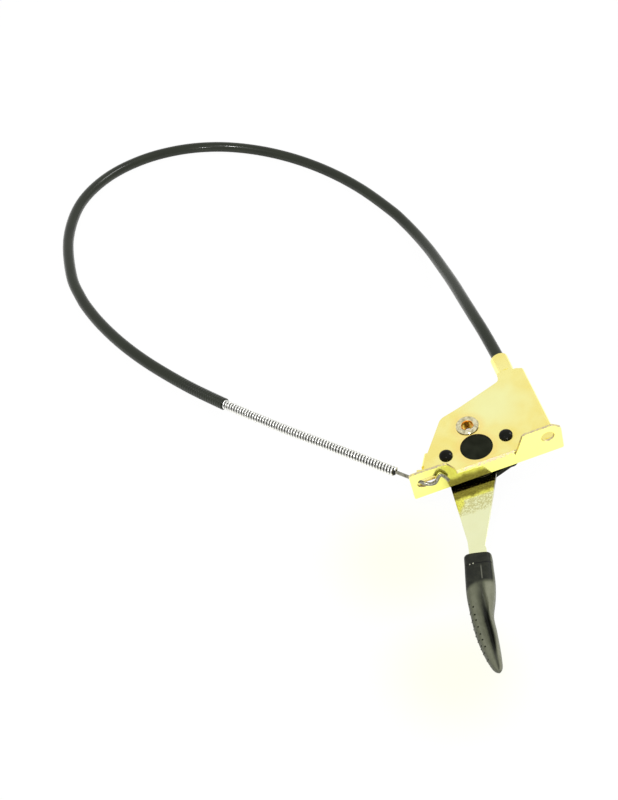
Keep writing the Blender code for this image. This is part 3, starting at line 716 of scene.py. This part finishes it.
def on_table(point):
    """A point of the control's frame in millimetres, as a place on the table in metres."""
    return (TO_TABLE @ Vector(point)) * MM


def smooth_path(route, step):
    """Points about every step on a smooth curve through the route."""
    guides = [Vector(p) for p in route]
    ends = [2 * guides[0] - guides[1]] + guides + [2 * guides[-1] - guides[-2]]
    fine = []
    for a, b, c, d in zip(ends, ends[1:], ends[2:], ends[3:]):
        parts = max(2, math.ceil((c - b).length / step))
        for i in range(parts):
            t = i / parts
            fine.append(0.5 * (2 * b + (c - a) * t + (2 * a - 5 * b + 4 * c - d) * t**2
                               + (3 * b - a - 3 * c + d) * t**3))
    fine.append(guides[-1])
    return fine


def round_curve(name, path, radius, material):
    """A round rod along a path."""
    data = bpy.data.curves.new(name, "CURVE")
    data.dimensions = "3D"
    data.bevel_depth = radius
    data.bevel_resolution = CURVE_RESOLUTION
    data.use_fill_caps = True
    spline = data.splines.new("POLY")
    spline.points.add(len(path) - 1)
    for point, place in zip(spline.points, path):
        point.co = (*place, 1.0)
    data.materials.append(material)
    return link_object(name, data)


def step_lengths(path):
    return [(b - a).length for a, b in zip(path, path[1:])]


def path_length(path):
    return sum(step_lengths(path))


def along_path(path, count):
    """count + 1 evenly spaced places on a path: (point, direction, side, up)."""
    lengths = step_lengths(path)
    total = sum(lengths)
    places = []
    segment = 0
    before = 0.0
    for k in range(count + 1):
        wanted = total * k / count
        while segment < len(lengths) - 1 and before + lengths[segment] < wanted:
            before += lengths[segment]
            segment += 1
        along = (path[segment + 1] - path[segment]).normalized()
        side = along.cross(Vector((0, 0, 1))).normalized()
        point = path[segment] + along * (wanted - before)
        places.append((point, along, side, side.cross(along)))
    return places


def painted_coil_shade_at(outward, out):
    """Painted shade of the winding's gaps and its painted dark reflection row; outward is 1 on a turn's
    crest, out points off the axis.
    """
    gap = smooth_share((CREST_ENDS - outward) / CREST_FADES)
    row = smooth_share((ROW_TOP - out.z) / ROW_TOP_FADES)
    row *= smooth_share((out.z - ROW_LOW) / ROW_LOW_FADES)
    row *= smooth_share(-out.y / ROW_SIDE_FADES)
    return gap * between(GAP_TONE, 1.0, row) + ROW_ON_CREST * (1 - gap) * row


def coil_tube(name, path, material):
    """A close-wound wire tube, drawn as a wire that runs round and round the path."""
    count = round(path_length(path) / (COIL_PITCH * MM) * COIL_SEGMENTS)
    wire = COIL_WIRE * MM
    middle = (CONDUIT_RADIUS - COIL_WIRE) * MM
    points = []
    painted_coil_shades = []
    for k, (centre, along, side, up) in enumerate(along_path(path, count)):
        angle = -2 * math.pi * k / COIL_SEGMENTS
        out = math.cos(angle) * side + math.sin(angle) * up
        for i in range(COIL_SIDES):
            turn = 2 * math.pi * i / COIL_SIDES
            offset = (middle + wire * math.cos(turn)) * out + wire * math.sin(turn) * along
            points.append(centre + offset)
            # Each point carries its painted shade.
            painted_coil_shades.append(painted_coil_shade_at(math.cos(turn), out))
    coil = add_mesh(name, points, ring_faces(count + 1, COIL_SIDES), material)
    coil.data.attributes.new("painted_coil_shade", "FLOAT", "POINT").data.foreach_set("value", painted_coil_shades)
    return coil


def ring_faces(rings, sides):
    """Faces of a tube of rings with both ends closed."""
    faces = [tuple(range(sides))]
    for ring in range(rings - 1):
        for i in range(sides):
            j = (i + 1) % sides
            low = ring * sides
            faces.append((low + i, low + j, low + sides + j, low + sides + i))
    faces.append(tuple(range((rings - 1) * sides, rings * sides)))
    return faces


def dark_shade_tube(name, path, material):
    """A dark tube inside the winding, open at its mouth for the wire: painted shade in and between its
    turns.
    """
    places = along_path(path, len(path) - 1)
    last, along, side, up = places[-1]
    deep = (last - along * WIRE_TAIL, along, side, up)
    rings = [(place, SHADE_TUBE_RADIUS) for place in places]
    rings += [(places[-1], CONDUIT_BORE), (deep, CONDUIT_BORE)]
    points = []
    for (centre, _, side, up), radius in rings:
        for i in range(SHADE_TUBE_SIDES):
            angle = 2 * math.pi * i / SHADE_TUBE_SIDES
            points.append(centre + radius * MM * (math.cos(angle) * side + math.sin(angle) * up))
    return add_mesh(name, points, ring_faces(len(rings), SHADE_TUBE_SIDES), material)


def scoop(u, y):
    """How far the grip's upper face is sunk, at a share u of its half width."""
    grown = smooth_share((SCOOP_FROM_Y - y) / SCOOP_GROWS)
    left = between(*SCOOP_LEFT, grown)
    right = between(*SCOOP_RIGHT, grown)
    deepest = between(left, right, SCOOP_DEEPEST)
    inward = (u - left) / (deepest - left) if u < deepest else (right - u) / (right - deepest)
    fades_at_tip = smooth_share((y - SCOOP_TIP_Y) / SCOOP_FADES)
    return SCOOP_DEPTH * smooth_share(inward) * grown * fades_at_tip


def grip_rings():
    """Each cross-section of the grip: its centre, its direction across, and its sizes."""
    sections = smooth_path(GRIP_SECTIONS, GRIP_STEP)
    rings = []
    for i, (x, y, half_width, half_height, squareness) in enumerate(sections):
        here = sections[max(i - 1, 0)]
        there = sections[min(i + 1, len(sections) - 1)]
        along = Vector((there[0] - here[0], there[1] - here[1], 0))
        across = Vector((-along.y, along.x, 0)).normalized()
        rings.append((Vector((x, y, GRIP_Z)), across, half_width, half_height, squareness))
    return rings


def grip_point(ring, angle):
    """A point on the grip's surface, at an angle round its cross-section."""
    centre, across, half_width, half_height, squareness = ring
    u = power(math.cos(angle), 2 / squareness)
    high = half_height * power(math.sin(angle), 2 / squareness)
    if high > 0:
        high -= scoop(u, centre.y) * high / half_height
    return centre + across * half_width * u + Vector((0, 0, high))


def valley_at(y):
    """Where the scoop's valley runs, as a share of the half width."""
    for (low_y, low_u), (high_y, high_u) in zip(VALLEY_LINE, VALLEY_LINE[1:]):
        if y <= high_y:
            return between(low_u, high_u, smooth_share((y - low_y) / (high_y - low_y)))
    return VALLEY_LINE[-1][1]


def painted_grip_shading_at(u, y, upper):
    """Painted light and shade of the grip: dark socket, painted light on the shoulder and rim, and a
    painted shadow in the valley between them.
    """
    if not upper:
        return SIDE_TONE
    valley = valley_at(y)
    deep = smooth_share((DEEP_FROM_Y - y) / DEEP_GROWS)
    deep *= smooth_share((y - DEEP_TIP_Y) / DEEP_FADES)
    bottom = between(VALLEY_TONE, 0.0, deep)
    if u > valley:
        painted_grip_shading = between(bottom, RIM_TONE, smooth_share((u - valley) / RIM_RISES))
    else:
        painted_grip_shading = between(bottom, SHOULDER_TONE, smooth_share((valley - u) / SHOULDER_RISES))
        painted_grip_shading = between(painted_grip_shading, SIDE_TONE, smooth_share((SIDE_FROM - u) / SIDE_FADES))
    edge_y = SCOOP_EDGE_Y + SCOOP_EDGE_SLANT * min(0.0, u)
    begun = smooth_share((edge_y - y) / SCOOP_EDGE_FADES)
    rim = smooth_share((u - SOCKET_RIM_FROM) / SOCKET_RIM_WIDTH)
    socket = between(SOCKET_TONE, SOCKET_RIM_TONE, rim)
    return between(socket, painted_grip_shading, begun)


def make_grip(material):
    """The grip as one finely meshed skin that carries its painted light and shade."""
    points = []
    painted_grip_shadings = []
    rings = grip_rings()
    for ring in rings:
        for k in range(GRIP_SIDES):
            angle = 2 * math.pi * (k + 0.5) / GRIP_SIDES
            points.append(on_table(grip_point(ring, angle)))
            u = power(math.cos(angle), 2 / ring[4])
            # Painted light and shade of each point.
            painted_grip_shadings.append(painted_grip_shading_at(u, ring[0].y, math.sin(angle) > 0))
    grip = add_mesh("grip_shape", points, ring_faces(len(rings), GRIP_SIDES), material)
    grip.data.attributes.new("painted_grip_shading", "FLOAT", "POINT").data.foreach_set("value", painted_grip_shadings)
    return grip


def make_grip_dots(material):
    """Staggered rows of small raised dots down the outer side of the grip."""
    shape = bmesh.new()
    rings = grip_rings()
    for degrees, first_y, last_y in DOT_ROWS:
        angle = math.radians(degrees)
        y = first_y
        while y > last_y:
            ring = min(rings, key=lambda ring: abs(ring[0].y - y))
            surface = grip_point(ring, angle)
            inward = (ring[0] - surface).normalized()
            centre = on_table(surface + inward * DOT_SUNK)
            bmesh.ops.create_icosphere(
                shape, subdivisions=2, radius=DOT_RADIUS * MM, matrix=Matrix.Translation(centre)
            )
            y -= DOT_PITCH
    return shaped_object("grip_dots", bpy.data.meshes.new("grip_dots"), shape, material)


def soften(obj, width):
    """Rounds the sharp edges of a CAD node for the render."""
    bevel = obj.modifiers.new("soft_edges", "BEVEL")
    bevel.width = width * MM
    bevel.segments = SOFT_SEGMENTS
    bevel.limit_method = "ANGLE"
    bevel.angle_limit = SOFT_FROM_ANGLE
    bevel.use_clamp_overlap = True


def paint(obj, material):
    """Gives every face of a CAD node this material."""
    if not obj.material_slots:
        obj.data.materials.append(material)
    for entry in obj.material_slots:
        entry.material = material


def make_camera():
    """The photo's camera, and the picture's size and colours."""
    data = bpy.data.cameras.new("camera")
    data.sensor_fit = "HORIZONTAL"
    data.sensor_width = SENSOR_MM
    data.lens = FOCAL_PIXELS / IMAGE_WIDTH * SENSOR_MM
    data.clip_start = CLIP_START
    data.clip_end = CLIP_END
    camera = link_object("camera", data)
    turn = Matrix((CAMERA_RIGHT, CAMERA_UP, CAMERA_BACK)).transposed().to_4x4()
    camera.matrix_world = Matrix.Translation(Vector(CAMERA_PLACE) * MM) @ turn
    scene = bpy.context.scene
    scene.camera = camera
    scene.render.resolution_x = IMAGE_WIDTH
    scene.render.resolution_y = IMAGE_HEIGHT
    scene.render.resolution_percentage = 100
    scene.view_settings.view_transform = "Standard"
    scene.view_settings.look = "None"


def make_world():
    """White all round, with a dark strip low on the camera's side that only first reflections see."""
    world = bpy.data.worlds.new("studio")
    made = Nodes(world)
    direction = made.add("ShaderNodeTexCoord").outputs["Generated"]
    _, _, height = made.parts(direction)
    side = Vector((CAMERA_BACK[0], CAMERA_BACK[1], 0.0)).normalized()
    aside = made.fade(made.vector_math("DOT_PRODUCT", direction, side), *DARK_STRIP_SIDES)
    above = made.fade(height, DARK_STRIP_TOP - DARK_STRIP_FADES, DARK_STRIP_TOP)
    rays = made.add("ShaderNodeLightPath").outputs
    later = made.math("GREATER_THAN", rays["Ray Depth"], 1.5)
    white = made.largest(aside, above, later, rays["Is Camera Ray"])
    background = made.tree.nodes["Background"]
    background.inputs["Color"].default_value = (1.0, 1.0, 1.0, 1.0)
    made.put(background, "Strength", made.scaled(white, WORLD_WHITE - WORLD_DARK, WORLD_DARK))
    bpy.context.scene.world = world


def make_light(name, place, size, watts):
    """An area light that points at the origin."""
    data = bpy.data.lights.new(name, "AREA")
    data.energy = watts
    data.size = size
    light = link_object(name, data)
    light.location = place
    light.rotation_euler = (-Vector(place)).to_track_quat("-Z", "Y").to_euler()


def table_glow(made):
    """The white that the camera sees on the table, with its faint warm pools of painted light."""
    place = made.place()
    # Warm pools of painted light, the light that the yellow flange throws on the table.
    painted_lights = [made.near(place, centre, PAINTED_LIGHT_CORE, reach) for centre, reach in PAINTED_TABLE_LIGHTS]
    share = made.times(made.largest(*painted_lights), 0.9)
    colour = made.mix(share, (1.0, 1.0, 1.0), linear(255, 255, 238))
    return made.add("ShaderNodeEmission", Color=colour, Strength=1.0).outputs[0]


def make_floor():
    """A white table top that keeps a pure white, with faint warm pools of painted light.
    A white table top that keeps the photo's pure white and its faint warm tints.
    """
    corners = [(-1, -1), (1, -1), (1, 1), (-1, 1)]
    points = [(x * TABLE_HALF, y * TABLE_HALF, 0.0) for x, y in corners]
    made = Nodes(bpy.data.materials.new("table_top"))
    made.set(Base_Color=(0.97, 0.97, 0.96), Roughness=0.3)
    rays = made.add("ShaderNodeLightPath").outputs
    both = made.add("ShaderNodeMixShader")
    made.put(both, 0, made.times(rays["Is Camera Ray"], TABLE_GLOW))
    made.put(both, 1, made.shader.outputs[0])
    made.put(both, 2, table_glow(made))
    made.put(made.tree.nodes["Material Output"], "Surface", both.outputs[0])
    floor = add_mesh("floor", points, [(0, 1, 2, 3)], made.owner, smooth=False)


def make_cable(materials):
    """The sheath, and the wound conduit that stands bare out of its cut end."""
    sheath_path = smooth_path(SHEATH_ROUTE, SHEATH_STEP)
    sheath = round_curve("sheath_skin", sheath_path, SHEATH_RADIUS * MM, materials["sheath"])
    cut_axis = (sheath_path[-1] - sheath_path[-2]).normalized()
    inside = sheath_path[-1] - cut_axis * FREE_INSIDE
    straight_from = FREE_MOUTH - FREE_AXIS * FREE_STRAIGHT
    free_path = [inside] + smooth_path([*FREE_ROUTE, straight_from, FREE_MOUTH], FREE_STEP)
    coil = coil_tube("wound_conduit", free_path, materials["conduit"])
    # A dark tube inside the winding as painted shade in and between its turns.
    shade_tube = dark_shade_tube("conduit_shade_tube", free_path, materials["shade_tube"])
    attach(sheath, "control")
    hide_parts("sheath")
    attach(coil, "control")
    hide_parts("free_conduit")
    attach(shade_tube, "control")


def make_bent_wire(material):
    """The inner wire from inside the free conduit to its bent end in the ear's slot."""
    bends = smooth_path([on_table(p) for p in WIRE_BENDS], WIRE_STEP)
    straight = [FREE_MOUTH - FREE_AXIS * WIRE_TAIL, FREE_MOUTH, FREE_MOUTH + FREE_AXIS * WIRE_REACH]
    wire = round_curve("bent_wire", straight + bends, WIRE_RADIUS * MM, material)
    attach(wire, "wire")
    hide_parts("wire_end")


def make_lever_wire(material):
    """The wire from the clamp to the crank arm, as one solid mesh."""
    path = [on_table(p) for p in smooth_path(LEVER_WIRE_ROUTE, LEVER_WIRE_STEP)]
    wire = round_curve("crank_wire", path, WIRE_RADIUS * MM, material)
    graph = bpy.context.evaluated_depsgraph_get()
    mesh = bpy.data.meshes.new_from_object(wire.evaluated_get(graph))
    solid = link_object("crank_wire_solid", mesh)
    bpy.data.objects.remove(wire)
    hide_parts("lever_wire")
    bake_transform(solid)


def make_materials():
    """The materials by their short names."""
    return {
        "sheath": sheath_material(),
        # Black of the tube that is painted shade inside the winding.
        "shade_tube": plastic_material(
            "painted_shade_black", linear(26, 26, 24), least_rough=0.5, specular=0.2
        ),
        "conduit": steel_material(
            "conduit_steel", linear(240, 240, 236), linear(206, 206, 200), 0.16, painted_coil_shades=True
        ),
        "wire": steel_material("wire_steel", linear(150, 148, 134), linear(92, 89, 74), 0.16),
        "grip": grip_material(),
        "moulding": plastic_material(
            "black_moulding", linear(22, 24, 16), least_rough=0.3, specular=0.03
        ),
        "pin": plastic_material(
            "black_pin", linear(8, 8, 5), least_rough=0.06, specular=0.08, texture=0.01, scale=0.8
        ),
        "washer": steel_material("spring_steel", linear(200, 200, 195), linear(150, 150, 145)),
        "rivet": rivet_material(),
        "lever": lever_material(),
        "zinc": zinc_material(),
    }


def main():
    for obj in list(bpy.data.objects):
        bpy.data.objects.remove(obj)
    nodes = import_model()["nodes"]
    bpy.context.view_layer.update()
    make_camera()
    make_world()
    make_floor()
    for light in LIGHTS:
        make_light(*light)
    materials = make_materials()
    make_cable(materials)
    make_bent_wire(materials["wire"])
    make_lever_wire(materials["wire"])
    grip = make_grip(materials["grip"])
    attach(grip, "lever")
    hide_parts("grip")
    dots = make_grip_dots(materials["moulding"])
    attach(dots, "lever")
    for name, material in PAINTED.items():
        paint(nodes[name], materials[material])
    for name, width in SOFT_EDGES.items():
        soften(nodes[name], width)


main()
